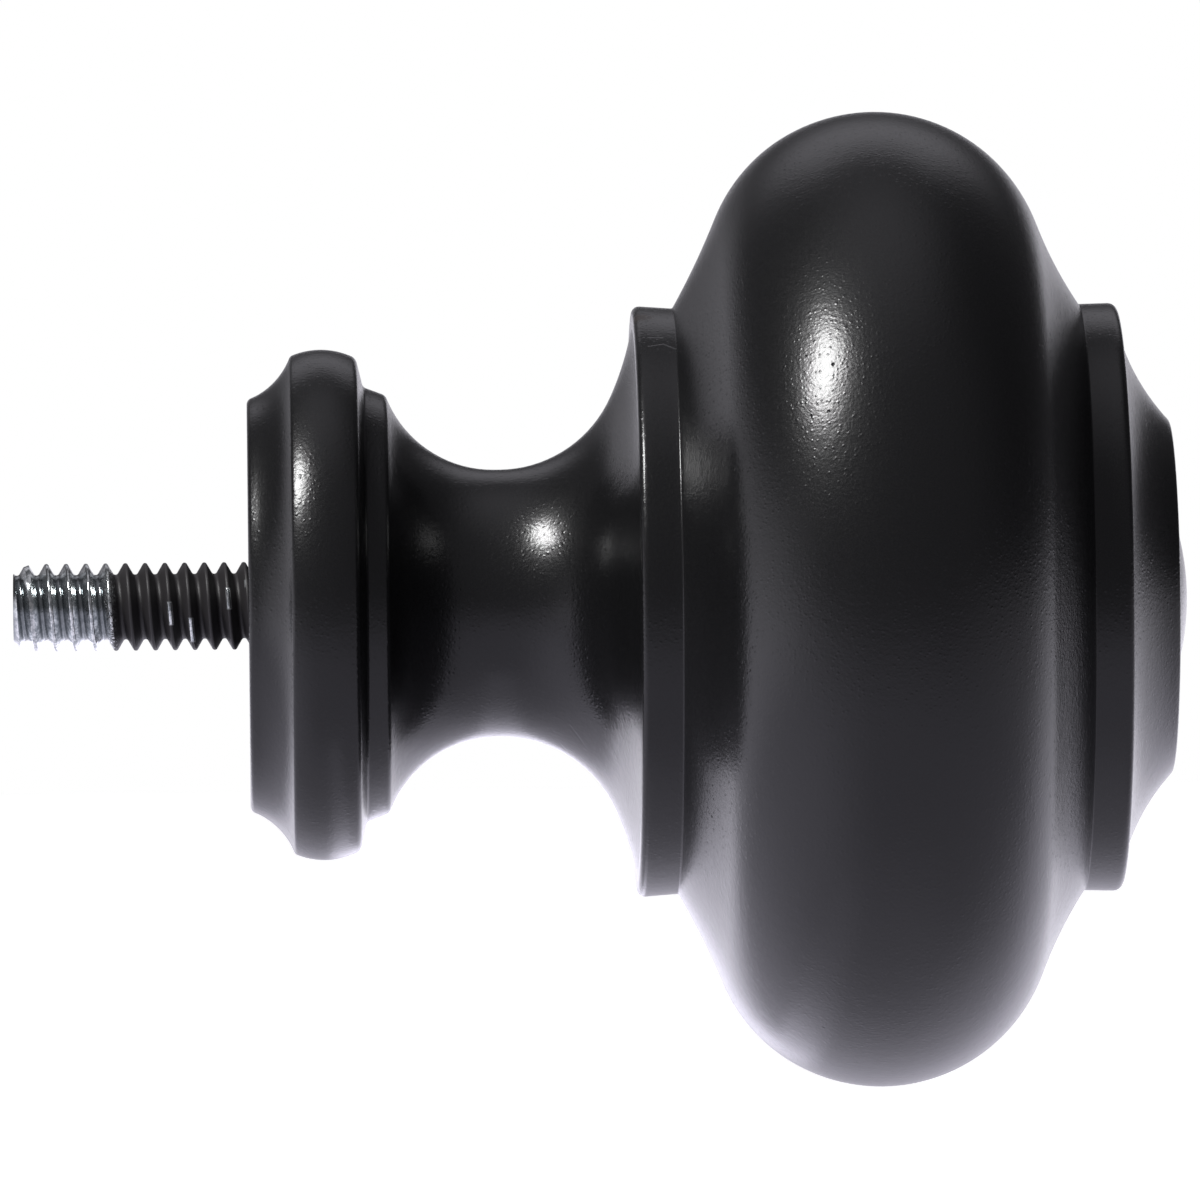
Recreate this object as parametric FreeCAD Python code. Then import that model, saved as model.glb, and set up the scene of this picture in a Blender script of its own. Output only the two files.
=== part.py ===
import FreeCAD, Part
import math
import os

# Curtain pole finial: a turned body and the threaded stud that holds it on the pole.
# Millimetres. The origin is the centre of the flat seat that bears on the pole,
# +X runs out along the pole's axis to the tip of the cap, and +Z is up.

# Seat, cove and bead, from the pole outwards
SEAT_D = 22.06             # flat seat at the pole's end
SEAT_EDGE_R = 0.35         # rounding of the seat's rim
COVE_LEN = 2.35            # cove between the seat and the bead
COVE_DEPTH = 0.37          # how far the cove sinks under its chord
BEAD_REAR_D = 26.72        # bead where it leaves the cove
BEAD_D = 27.40             # bead at its crown
BEAD_FRONT_D = 26.44       # bead where its front wall starts
BEAD_LEN = 3.53            # length of the bead
BEAD_CROWN_X = 1.58        # crown, from the bead's rear edge
BEAD_REAR_EDGE_R = 0.30    # rounding between cove and bead
BEAD_FRONT_EDGE_R = 0.50   # rounding over the front wall
BEAD_WALL_DRAFT = 0.37     # how far the front wall leans over its height

# Collar between the bead and the neck
COLLAR_REAR_D = 23.34
COLLAR_FRONT_D = 22.44
COLLAR_LEN = 1.20
COLLAR_ROOT_R = 0.30       # rounding at the foot of the bead's wall
COLLAR_EDGE_R = 0.45       # rounding of the collar's front edge

# Neck: a scotia with a short straight waist that flares out to the rear plate
NECK_D = 14.34             # waist
NECK_REAR_R = 6.15         # hollow from the collar down to the waist
NECK_WAIST_LEN = 0.30
NECK_FRONT_R = 6.60        # hollow from the waist up towards the plate
NECK_FRONT_TURN = 65.4     # degrees that this hollow turns
NECK_FLARE_R = 16.0        # wide hollow that ends at the plate
NECK_FLARE_TURN = 13.6     # degrees that the wide hollow turns

# Rear plate, between the neck and the head
REAR_PLATE_REAR_D = 31.76
REAR_PLATE_FRONT_D = 31.44
REAR_PLATE_LEN = 2.20
REAR_PLATE_EDGE_R = 0.40

# Head: a flattened ball with a hollow skirt on each side
HEAD_D = 52.34
HEAD_REAR_CROWN_R = 9.40       # round from the crown rearwards
HEAD_REAR_CROWN_TURN = 31.5    # degrees
HEAD_SHOULDER_R = 8.95         # tighter round below it
HEAD_SHOULDER_TURN = 36.2      # degrees
HEAD_REAR_SKIRT_R = 42.0       # hollow skirt down to the rear plate
HEAD_FRONT_R = 9.20            # round from the crown forwards
HEAD_FRONT_TURN = 69.0         # degrees
HEAD_FRONT_SKIRT_R = 23.2      # hollow skirt down to the front plate

# Front plate and cap
FRONT_PLATE_REAR_D = 31.50
FRONT_PLATE_FRONT_D = 31.60
FRONT_PLATE_LEN = 2.05
FRONT_PLATE_EDGE_R = 0.45
CAP_ROOT_D = 28.80         # cap where it rises from the front plate
CAP_RIM_D = 18.90          # cap at its flat end
CAP_LEN = 2.78
CAP_HOLLOW = 0.34          # how far the cap's side sinks under its chord
CAP_RIM_R = 0.35           # rounding of the cap's rim
BUTTON_D = 9.80            # low dome on the cap's end
BUTTON_RISE = 0.88

# Stud: number 10 machine thread, 24 turns to the inch
INCH = 25.4
TURNS_PER_INCH = 24
THREAD_D = 4.70            # over the crests
THREAD_NOMINAL_D = 4.826
PITCH = INCH / TURNS_PER_INCH
PITCH_LINE_DEPTH = 3 * math.sqrt(3) / 8        # of a 60 degree thread, on the diameter, in pitches
PITCH_D = THREAD_NOMINAL_D - PITCH_LINE_DEPTH * PITCH
STUD_OUT = 12.60           # stands out of the seat
STUD_IN = 12.80            # held in the body
STUD_TIP_CHAMFER = 0.45
STUD_INNER_CHAMFER = 0.30

# Blind hole for the stud. Stud and hole mesh at the pitch diameter inside the body.
HOLE_CLEARANCE = 0.03      # on the radius
HOLE_END_GAP = 0.80        # beyond the stud's inner end
HOLE_MOUTH_CLEARANCE = 0.25    # countersunk mouth round the thread, on the radius
DRILL_POINT_ANGLE = 118.0  # degrees

SAME_PLACE = 0.01          # rims this near to a profile point are that point's rim


def at(x, r):
    """Point of a profile: x along the axis, r out from it."""
    return FreeCAD.Vector(x, 0.0, r)


def round_point(centre, radius, angle):
    """Point on a circle, with the angle in degrees from straight outwards towards +X."""
    a = math.radians(angle)
    return centre + FreeCAD.Vector(radius * math.sin(a), 0.0, radius * math.cos(a))


def line(start, end):
    """Straight edge of a profile."""
    return Part.LineSegment(start, end).toShape()


def arc(centre, radius, start_angle, end_angle):
    """Round edge of a profile. A negative radius bulges the other way, as on a hollow skirt."""
    middle = round_point(centre, radius, (start_angle + end_angle) / 2)
    start = round_point(centre, radius, start_angle)
    end = round_point(centre, radius, end_angle)
    return Part.Arc(start, middle, end).toShape()


def hollow(start, end, depth):
    """Arc whose middle lies a depth under the chord, towards the axis."""
    chord = end - start
    inwards = FreeCAD.Vector(chord.z, 0.0, -chord.x).normalize()
    if inwards.z > 0:
        inwards = -inwards
    return Part.Arc(start, (start + end) / 2 + inwards * depth, end).toShape()


def revolve(edges):
    """Solid of revolution about the X axis from a closed outline."""
    face = Part.Face(Part.Wire(edges))
    solid = face.revolve(FreeCAD.Vector(0, 0, 0), FreeCAD.Vector(1, 0, 0), 360)
    return solid.removeSplitter()


def round_rims(solid, rims):
    """Rounds each circular edge given as (point of the profile, radius)."""
    for point, radius in rims:
        found = [
            edge for edge in solid.Edges
            if not edge.Degenerated
            and isinstance(edge.Curve, Part.Circle)
            and abs(edge.Curve.Center.x - point.x) < SAME_PLACE
            and abs(edge.Curve.Radius - point.z) < SAME_PLACE
        ]
        solid = solid.makeFillet(radius, found)
    return solid


# Bead, cove and collar
seat_rim = at(0, SEAT_D / 2)
bead_rear = at(COVE_LEN, BEAD_REAR_D / 2)
bead_crown = at(bead_rear.x + BEAD_CROWN_X, BEAD_D / 2)
bead_front = at(bead_rear.x + BEAD_LEN, BEAD_FRONT_D / 2)
collar_rear = at(bead_front.x + BEAD_WALL_DRAFT, COLLAR_REAR_D / 2)
collar_front = at(collar_rear.x + COLLAR_LEN, COLLAR_FRONT_D / 2)
bead_edges = [
    hollow(seat_rim, bead_rear, COVE_DEPTH),
    Part.Arc(bead_rear, bead_crown, bead_front).toShape(),
    line(bead_front, collar_rear),
    line(collar_rear, collar_front),
]

# Neck: the hollow's centre stands off the waist, and its length follows from the collar
neck_r = NECK_D / 2
rear_turn = math.degrees(math.acos((neck_r + NECK_REAR_R - collar_front.z) / NECK_REAR_R))
waist_rear = at(collar_front.x + NECK_REAR_R * math.sin(math.radians(rear_turn)), neck_r)
waist_front = at(waist_rear.x + NECK_WAIST_LEN, neck_r)
flare_turn = NECK_FRONT_TURN + NECK_FLARE_TURN
rear_centre = at(waist_rear.x, neck_r + NECK_REAR_R)
front_centre = at(waist_front.x, neck_r + NECK_FRONT_R)
flare_centre = round_point(front_centre, NECK_FLARE_R - NECK_FRONT_R, -NECK_FRONT_TURN)
neck_edges = [
    arc(rear_centre, NECK_REAR_R, 180 + rear_turn, 180),
    line(waist_rear, waist_front),
    arc(front_centre, NECK_FRONT_R, 180, 180 - NECK_FRONT_TURN),
    arc(flare_centre, NECK_FLARE_R, 180 - NECK_FRONT_TURN, 180 - flare_turn),
]

# Rear plate
plate_foot = round_point(flare_centre, NECK_FLARE_R, 180 - flare_turn)
plate_rear = at(plate_foot.x, REAR_PLATE_REAR_D / 2)
plate_front = at(plate_rear.x + REAR_PLATE_LEN, REAR_PLATE_FRONT_D / 2)
plate_edges = [
    line(plate_foot, plate_rear),
    line(plate_rear, plate_front),
]


def skirt_angle(shoulder, turn, skirt_r, foot_r):
    """Angle at which a hollow skirt, tangent to the shoulder, comes down to the plate."""
    height = shoulder.z + skirt_r * math.cos(math.radians(turn)) - foot_r
    return math.degrees(math.acos(height / skirt_r))


# Head, laid out from its crown and then set against the rear plate
head_r = HEAD_D / 2
rear_turn_end = HEAD_REAR_CROWN_TURN + HEAD_SHOULDER_TURN
crown_rear = at(0, head_r - HEAD_REAR_CROWN_R)
crown_front = at(0, head_r - HEAD_FRONT_R)
shoulder_centre = round_point(crown_rear, HEAD_REAR_CROWN_R - HEAD_SHOULDER_R, -HEAD_REAR_CROWN_TURN)
shoulder_end = round_point(shoulder_centre, HEAD_SHOULDER_R, -rear_turn_end)
rear_skirt = round_point(shoulder_end, HEAD_REAR_SKIRT_R, -rear_turn_end)
rear_foot_turn = skirt_angle(shoulder_end, rear_turn_end, HEAD_REAR_SKIRT_R, plate_front.z)
rear_foot = round_point(rear_skirt, -HEAD_REAR_SKIRT_R, -rear_foot_turn)
front_end = round_point(crown_front, HEAD_FRONT_R, HEAD_FRONT_TURN)
front_skirt = round_point(front_end, HEAD_FRONT_SKIRT_R, HEAD_FRONT_TURN)
front_foot_turn = skirt_angle(front_end, HEAD_FRONT_TURN, HEAD_FRONT_SKIRT_R, FRONT_PLATE_REAR_D / 2)
front_foot = round_point(front_skirt, -HEAD_FRONT_SKIRT_R, front_foot_turn)
to_head = at(plate_front.x - rear_foot.x, 0)
head_edges = [
    arc(rear_skirt + to_head, -HEAD_REAR_SKIRT_R, -rear_foot_turn, -rear_turn_end),
    arc(shoulder_centre + to_head, HEAD_SHOULDER_R, -rear_turn_end, -HEAD_REAR_CROWN_TURN),
    arc(crown_rear + to_head, HEAD_REAR_CROWN_R, -HEAD_REAR_CROWN_TURN, 0),
    arc(crown_front + to_head, HEAD_FRONT_R, 0, HEAD_FRONT_TURN),
    arc(front_skirt + to_head, -HEAD_FRONT_SKIRT_R, HEAD_FRONT_TURN, front_foot_turn),
]

# Front plate, cap and button
tip_plate_rear = front_foot + to_head
tip_plate_front = at(tip_plate_rear.x + FRONT_PLATE_LEN, FRONT_PLATE_FRONT_D / 2)
cap_root = at(tip_plate_front.x, CAP_ROOT_D / 2)
cap_rim = at(cap_root.x + CAP_LEN, CAP_RIM_D / 2)
button_rim = at(cap_rim.x, BUTTON_D / 2)
button_top = at(button_rim.x + BUTTON_RISE, 0)
button_r = (BUTTON_RISE ** 2 + button_rim.z ** 2) / (2 * BUTTON_RISE)
button_turn = math.degrees(math.asin(button_rim.z / button_r))
button_centre = at(button_top.x - button_r, 0)
cap_edges = [
    line(tip_plate_rear, tip_plate_front),
    line(tip_plate_front, cap_root),
    hollow(cap_root, cap_rim, CAP_HOLLOW),
    line(cap_rim, button_rim),
    arc(button_centre, button_r, 90 - button_turn, 90),
]

# Blind hole: countersunk mouth, straight wall and the drill's point
hole_r = PITCH_D / 2 + HOLE_CLEARANCE
mouth_r = THREAD_D / 2 + HOLE_MOUTH_CLEARANCE
hole_len = STUD_IN + HOLE_END_GAP
point_len = hole_r / math.tan(math.radians(DRILL_POINT_ANGLE / 2))
mouth = at(0, mouth_r)
hole_start = at(mouth_r - hole_r, hole_r)
hole_end = at(hole_len, hole_r)
hole_tip = at(hole_len + point_len, 0)
hole_edges = [
    line(button_top, hole_tip),
    line(hole_tip, hole_end),
    line(hole_end, hole_start),
    line(hole_start, mouth),
    line(mouth, seat_rim),
]

body = revolve(bead_edges + neck_edges + plate_edges + head_edges + cap_edges + hole_edges)
body = round_rims(body, [
    (seat_rim, SEAT_EDGE_R),
    (bead_rear, BEAD_REAR_EDGE_R),
    (bead_front, BEAD_FRONT_EDGE_R),
    (collar_rear, COLLAR_ROOT_R),
    (collar_front, COLLAR_EDGE_R),
    (plate_rear, REAR_PLATE_EDGE_R),
    (tip_plate_front, FRONT_PLATE_EDGE_R),
    (cap_rim, CAP_RIM_R),
])

# Stud: the crest cylinder stands out of the seat, and the rest is drawn at the pitch diameter
thread_r = THREAD_D / 2
shank_r = PITCH_D / 2
tip_r = thread_r - STUD_TIP_CHAMFER
inner_r = shank_r - STUD_INNER_CHAMFER
stud_outline = [
    at(-STUD_OUT, 0),
    at(-STUD_OUT, tip_r),
    at(-STUD_OUT + STUD_TIP_CHAMFER, thread_r),
    at(0, thread_r),
    at(0, shank_r),
    at(STUD_IN - STUD_INNER_CHAMFER, shank_r),
    at(STUD_IN, inner_r),
    at(STUD_IN, 0),
]
closed = stud_outline + stud_outline[:1]
stud = revolve([line(start, end) for start, end in zip(closed, closed[1:])])

os.makedirs("parts", exist_ok=True)
for name, solid in (("finial_body", body), ("threaded_stud", stud)):
    solid.exportStep("parts/" + name + ".step")
    box = solid.optimalBoundingBox()
    print(name, "valid", solid.isValid(), "solids", len(solid.Solids), "faces", len(solid.Faces),
          "volume %.1f mm3" % solid.Volume, "x %.2f..%.2f" % (box.XMin, box.XMax), "across %.2f" % box.ZLength)
print("rear plate %.2f..%.2f" % (plate_rear.x, plate_front.x), "crown %.2f" % to_head.x,
      "front plate %.2f..%.2f" % (tip_plate_rear.x, tip_plate_front.x))
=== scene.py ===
"""Looks of a curtain pole finial: a turned body in satin black paint on a threaded stud.

Metres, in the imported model's frame: the origin is the centre of the flat seat that bears on the
pole, +X runs out along the pole's axis to the tip of the cap, and +Z is up.
"""

import logging
import math
from dataclasses import dataclass, field
from enum import Enum

import bmesh
import bpy
from mathutils import Matrix, Vector


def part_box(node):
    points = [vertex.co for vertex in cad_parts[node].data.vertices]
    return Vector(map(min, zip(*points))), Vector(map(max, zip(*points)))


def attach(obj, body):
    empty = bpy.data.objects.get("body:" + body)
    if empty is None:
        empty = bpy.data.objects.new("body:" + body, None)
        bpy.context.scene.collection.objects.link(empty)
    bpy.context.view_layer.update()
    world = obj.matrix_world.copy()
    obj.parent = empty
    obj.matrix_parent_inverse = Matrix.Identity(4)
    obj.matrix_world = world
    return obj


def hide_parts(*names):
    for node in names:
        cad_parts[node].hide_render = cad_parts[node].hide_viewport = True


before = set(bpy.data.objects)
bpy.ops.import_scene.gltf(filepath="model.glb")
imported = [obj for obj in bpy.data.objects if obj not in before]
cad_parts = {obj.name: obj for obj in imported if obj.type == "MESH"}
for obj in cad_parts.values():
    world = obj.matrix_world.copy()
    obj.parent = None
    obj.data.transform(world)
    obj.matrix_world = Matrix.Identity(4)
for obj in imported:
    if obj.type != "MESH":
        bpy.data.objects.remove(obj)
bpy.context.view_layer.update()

MM = 0.001
MICRON = 0.001 * MM
INCH = 25.4 * MM
BODY_NODE = "finial_body"
STUD_NODE = "threaded_stud"

PEN_DOT = 0.01 * MM             # the dot that an outline starts from
SAME_PLACE = 0.001 * MM         # points this near are one point
FINE_STEP = 0.45 * MM           # longest straight piece of a smooth outline
ARC_STEP = math.radians(4.0)    # widest turn between two points of an arc
ROUNDING_PIECES = 5             # straight pieces of a small rounding
CREASE = math.radians(35.0)     # sharper edges stay sharp in the shading
CLEAR_OF_ROUNDING = 1.15        # points within this many reaches of a corner give way

WHITE = (1.0, 1.0, 1.0, 1.0)
HIGH_TINT = (1.00, 0.98, 1.06, 1.0)     # of the studio above the object
LOW_TINT = (0.99, 0.96, 1.12, 1.0)      # of the studio and the cards below it
WIDE_PEEL_SCALE = 0.28          # the wider dimples' scale, of the fine ones'
WIDE_PEEL_SHARE = 0.5           # and their height
ACROSS_AXIS = (0.0, 1.0, 1.0)   # leaves out the way along the object's axis
HALF_TURN = 180.0               # degrees
RIGHT_ANGLE = 90.0

log = logging.getLogger("finial")

Piece = bpy.types.Object
Material = bpy.types.Material
Node = bpy.types.Node
Socket = bpy.types.NodeSocket
Value = float | Socket
Triple = tuple[float, float, float]
Colour = tuple[float, float, float, float]


class Slot(Enum):
    """Material slots of the record."""

    PAINT = "satin_black_paint"
    STEEL = "zinc_plated_steel"


class Body(Enum):
    """Bodies that a piece can ride on."""

    ROOT = "root"


class Combine(Enum):
    """Ways to make one piece out of two closed ones."""

    INTERSECT = "INTERSECT"
    UNION = "UNION"


class Kind(Enum):
    """Kinds of socket on a shader group."""

    NUMBER = "NodeSocketFloat"
    VECTOR = "NodeSocketVector"


def on_circle(centre: Vector, radius: float, angle: float) -> Vector:
    """Finds a circle's point at an angle from +Z towards +X, or across it where the radius is negative."""
    return centre + radius * Vector((math.sin(angle), 0.0, math.cos(angle)))


def centre_through(start: Vector, middle: Vector, end: Vector) -> Vector:
    """Finds the centre of the circle through three points of the XZ plane.

    Args:
        start: First point.
        middle: Second point.
        end: Third point.

    Returns:
        The centre.
    """
    a, b = middle - start, end - start
    cross = 2.0 * (a.x * b.z - a.z * b.x)
    along_x = (b.z * a.length_squared - a.z * b.length_squared) / cross
    along_z = (a.x * b.length_squared - b.x * a.length_squared) / cross
    return start + Vector((along_x, 0.0, along_z))


def deselect_everything() -> None:
    """Clears the selection, so that the next operator acts on its own piece alone."""
    bpy.ops.object.select_all(action="DESELECT")


def make_active(piece: Piece) -> None:
    """Selects one piece alone and makes it the active one.

    Args:
        piece: The piece.
    """
    deselect_everything()
    piece.select_set(True)
    bpy.context.view_layer.objects.active = piece


def apply_modifier(piece: Piece, modifier: bpy.types.Modifier) -> None:
    """Applies a modifier to the mesh of its piece."""
    make_active(piece)
    bpy.ops.object.modifier_apply(modifier=modifier.name)


def weld(piece: Piece) -> None:
    """Merges points that lie in one place and turns every face outwards.

    Args:
        piece: The piece, in object mode.
    """
    make_active(piece)
    bpy.ops.object.mode_set(mode="EDIT")
    bpy.ops.mesh.select_all(action="SELECT")
    bpy.ops.mesh.remove_doubles(threshold=SAME_PLACE)
    bpy.ops.mesh.normals_make_consistent(inside=False)
    bpy.ops.object.mode_set(mode="OBJECT")


def combine(piece: Piece, other: Piece, operation: Combine) -> None:
    """Intersects or joins a piece with another closed one, which is then removed.

    Args:
        piece: The piece that is kept.
        other: The piece that is used up.
        operation: The way to do it.
    """
    boolean = piece.modifiers.new("combine", "BOOLEAN")
    boolean.operation = operation.value
    boolean.solver = "EXACT"
    boolean.object = other
    apply_modifier(piece, boolean)
    bpy.data.objects.remove(other)


class Pen:
    """Draws the half outline of a turned piece in the XZ plane, in edit mode."""

    def __init__(self, name: str, start: Vector) -> None:
        """Puts the pen down.

        Args:
            name: Name of the piece that is drawn.
            start: First point of the outline.
        """
        deselect_everything()
        bpy.ops.mesh.primitive_plane_add(size=PEN_DOT, location=start)
        self.piece = bpy.context.active_object
        self.piece.name = name
        self.piece.data.name = name
        bpy.ops.object.transform_apply(location=True, rotation=True, scale=True)
        bpy.ops.object.mode_set(mode="EDIT")
        bpy.ops.mesh.select_all(action="SELECT")
        bpy.ops.mesh.merge(type="CENTER")
        self.tip = start.copy()
        self.corners: list[tuple[Vector, float]] = []

    def line(self, x: float, r: float, pieces: int | None = None) -> None:
        """Draws a straight stroke.

        Args:
            x: Where the stroke ends along the axis.
            r: Where it ends outwards from the axis.
            pieces: Number of equal pieces; by default as many as a smooth surface needs.
        """
        stroke = Vector((x, 0.0, r)) - self.tip
        count = pieces or max(1, math.ceil(stroke.length / FINE_STEP))
        for _ in range(count):
            bpy.ops.mesh.extrude_region_move(TRANSFORM_OT_translate={"value": stroke / count})
        self.tip += stroke

    def trace(self, *points: tuple[float, float]) -> None:
        """Draws strokes of one piece each to points given by x and by the distance from the axis."""
        for x, r in points:
            self.line(x, r, pieces=1)

    def arc(self, centre: Vector, turn: float) -> None:
        """Draws an arc.

        Args:
            centre: Centre of the arc.
            turn: Angle of the arc in radians, positive from outwards (+Z) towards +X.
        """
        arm = self.tip - centre
        length = abs(turn) * arm.length
        steps = max(3, math.ceil(abs(turn) / ARC_STEP), math.ceil(length / FINE_STEP))
        bpy.ops.mesh.spin(steps=steps, angle=-turn, center=centre, axis=(0.0, 1.0, 0.0))
        self.tip = centre + Matrix.Rotation(turn, 3, "Y") @ arm

    def arc_through(self, middle: Vector, end: Vector) -> None:
        """Draws an arc through a point.

        Args:
            middle: A point between the arc's ends.
            end: Where the arc ends.
        """
        centre = centre_through(self.tip, middle, end)
        start_arm, end_arm = self.tip - centre, end - centre
        turn = math.atan2(end_arm.x, end_arm.z) - math.atan2(start_arm.x, start_arm.z)
        self.arc(centre, math.remainder(turn, math.tau))

    def hollow(self, x: float, r: float, depth: float) -> None:
        """Draws an arc that sinks towards the axis.

        Args:
            x: Where the arc ends along the axis.
            r: Where it ends outwards from the axis.
            depth: How far its middle lies under its chord.
        """
        end = Vector((x, 0.0, r))
        chord = (end - self.tip).normalized()
        inwards = Vector((chord.z, 0.0, -chord.x))
        if inwards.z > 0.0:
            inwards.negate()
        self.arc_through((self.tip + end) / 2.0 + inwards * depth, end)

    def corner(self, radius: float) -> None:
        """Notes that the corner where the pen now is gets a small rounding."""
        self.corners.append((self.tip.copy(), radius))

    def round_corner(self, corner: Vector, radius: float) -> None:
        """Rounds one corner of the outline, clearing the points that stand in its way.

        Args:
            corner: The corner's place.
            radius: Radius of the rounding.
        """
        mesh = bmesh.from_edit_mesh(self.piece.data)
        point = min(mesh.verts, key=lambda v: (v.co - corner).length)
        ways = [(edge.other_vert(point).co - point.co).normalized() for edge in point.link_edges]
        turn = math.pi - ways[0].angle(ways[1])
        reach = radius * math.tan(turn / 2.0)
        clear = CLEAR_OF_ROUNDING * reach
        bpy.ops.mesh.select_all(action="DESELECT")
        for other in mesh.verts:
            other.select = other is not point and (other.co - corner).length < clear
        mesh.select_flush_mode()
        if any(other.select for other in mesh.verts):
            bpy.ops.mesh.dissolve_verts()
        mesh = bmesh.from_edit_mesh(self.piece.data)
        bpy.ops.mesh.select_all(action="DESELECT")
        min(mesh.verts, key=lambda v: (v.co - corner).length).select = True
        bpy.ops.mesh.bevel(offset=reach, segments=ROUNDING_PIECES, affect="VERTICES")

    def turn_piece(self, steps: int) -> Piece:
        """Turns the finished outline about the X axis into a closed piece.

        Args:
            steps: Number of flats round the piece.

        Returns:
            The piece, in object mode.
        """
        for corner, radius in self.corners:
            self.round_corner(corner, radius)
        bpy.ops.mesh.select_all(action="SELECT")
        bpy.ops.mesh.spin(steps=steps, angle=math.tau, center=(0.0, 0.0, 0.0), axis=(1.0, 0.0, 0.0))
        bpy.ops.object.mode_set(mode="OBJECT")
        weld(self.piece)
        return self.piece


class Graph:
    """Adds and joins the nodes of one node tree."""

    def __init__(self, tree: bpy.types.NodeTree) -> None:
        """Takes over the node tree of a material, a world or a group."""
        self.tree = tree

    def feed(self, socket: Socket, value: Value | Triple) -> None:
        """Sets an input socket, or links it.

        Args:
            socket: The input.
            value: A plain value, or the output that it takes.
        """
        if isinstance(value, Socket):
            self.tree.links.new(value, socket)
        else:
            socket.default_value = value

    def add(self, kind: str, inputs: dict[str | int, Value | Triple] | None = None,
            **settings: object) -> Node:
        """Adds a node.

        Args:
            kind: The node's type, without its ShaderNode prefix.
            inputs: Values or outputs for its inputs, by name or number.
            **settings: Its own settings.

        Returns:
            The node.
        """
        node = self.tree.nodes.new("ShaderNode" + kind)
        for name, setting in settings.items():
            setattr(node, name, setting)
        for name, value in (inputs or {}).items():
            self.feed(node.inputs[name], value)
        return node

    def math(self, operation: str, *values: Value) -> Socket:
        """Works out a number from one, two or three others, by an operation such as ADD."""
        return self.add("Math", dict(enumerate(values)), operation=operation).outputs[0]

    def vector(self, operation: str, *values: Value | Triple, result: str = "Vector") -> Socket:
        """Works out a vector, or a number such as a length, from vectors."""
        return self.add("VectorMath", dict(enumerate(values)), operation=operation).outputs[result]

    def fade(self, value: Value, start: Value, end: Value, low: float = 0.0,
             high: float = 1.0) -> Socket:
        """Maps a value smoothly, from the low level at its start to the high one at its end."""
        inputs = {0: value, 1: start, 2: end, 3: low, 4: high}
        return self.add("MapRange", inputs, interpolation_type="SMOOTHSTEP").outputs[0]

    def fall(self, distance: Value, reach: Value) -> Socket:
        """Gives 1 in a place, falling evenly to 0 at a distance from it."""
        share = self.math("DIVIDE", distance, reach)
        return self.add("Math", {0: 1.0, 1: share}, operation="SUBTRACT", use_clamp=True).outputs[0]

    def blend(self, factor: Value, low: Value, high: Value) -> Socket:
        """Mixes two numbers, where a factor of 0 gives the low one and 1 the high one."""
        return self.add("Mix", {0: factor, 2: low, 3: high}, data_type="FLOAT").outputs[0]

    def tint(self, factor: Value, low: Value | tuple, high: Value | tuple) -> Socket:
        """Mixes two colours, where a factor of 0 gives the low one and 1 the high one."""
        return self.add("Mix", {0: factor, 6: low, 7: high}, data_type="RGBA").outputs[2]

    def noise(self, place: Socket, scale: Value, detail: float = 0.0, roughness: float = 0.5) -> Socket:
        """Gives the level of a noise in a place, from 0 to 1."""
        inputs = {"Vector": place, "Scale": scale, "Detail": detail, "Roughness": roughness}
        return self.add("TexNoise", inputs).outputs["Fac"]

    def radius(self, place: Socket) -> Socket:
        """Gives the distance of a place from the object's axis."""
        return self.vector("LENGTH", self.vector("MULTIPLY", place, ACROSS_AXIS), result="Value")

    def relief(self, shader: Node, height: Socket) -> None:
        """Gives a shader the relief of a height in metres."""
        bump = self.add("Bump", {"Height": height, "Distance": 1.0, "Strength": 1.0})
        self.feed(shader.inputs["Normal"], bump.outputs["Normal"])


def new_material(name: str) -> tuple[Material, Graph, Node]:
    """Makes a plain material.

    Args:
        name: Its name.

    Returns:
        The material, its graph and its shader.
    """
    material = bpy.data.materials.new(name)
    material.use_nodes = True
    return material, Graph(material.node_tree), material.node_tree.nodes["Principled BSDF"]


@dataclass(frozen=True)
class ShaderGroup:
    """A shader group that several materials share: its name, its inputs by kind and its output."""

    name: str
    vectors: tuple[str, ...]
    numbers: tuple[str, ...]
    gives: str

    def begin(self) -> tuple[Graph, dict[str, Socket], Socket]:
        """Makes the empty group.

        Returns:
            Its graph, the sockets of what it takes by their names, and the socket of what it gives.
        """
        tree = bpy.data.node_groups.new(self.name, "ShaderNodeTree")
        for names, kind in ((self.vectors, Kind.VECTOR), (self.numbers, Kind.NUMBER)):
            for name in names:
                tree.interface.new_socket(name=name, in_out="INPUT", socket_type=kind.value)
        tree.interface.new_socket(name=self.gives, in_out="OUTPUT", socket_type=Kind.NUMBER.value)
        takes, gives = tree.nodes.new("NodeGroupInput"), tree.nodes.new("NodeGroupOutput")
        return Graph(tree), dict(takes.outputs.items()), gives.inputs[self.gives]

    def place(self, graph: Graph, **inputs: Value | Triple) -> Socket:
        """Places the group in a material, with its inputs by their names, and gives its output."""
        node = graph.add("Group", inputs, node_tree=bpy.data.node_groups[self.name])
        return node.outputs[self.gives]


ORANGE_PEEL = ShaderGroup("orange_peel", ("Position",), ("Cell", "Depth"), "Height")
SPECKS = ShaderGroup("specks", ("Position",), ("Spacing", "Radius", "Share"), "Mask")
SCORE_MARK = ShaderGroup("score_mark", ("Position", "From", "Way", "Unit"), ("Width",), "Mask")
SPOT = ShaderGroup("spot", ("Position", "Centre"), ("Radius",), "Mask")


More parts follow.
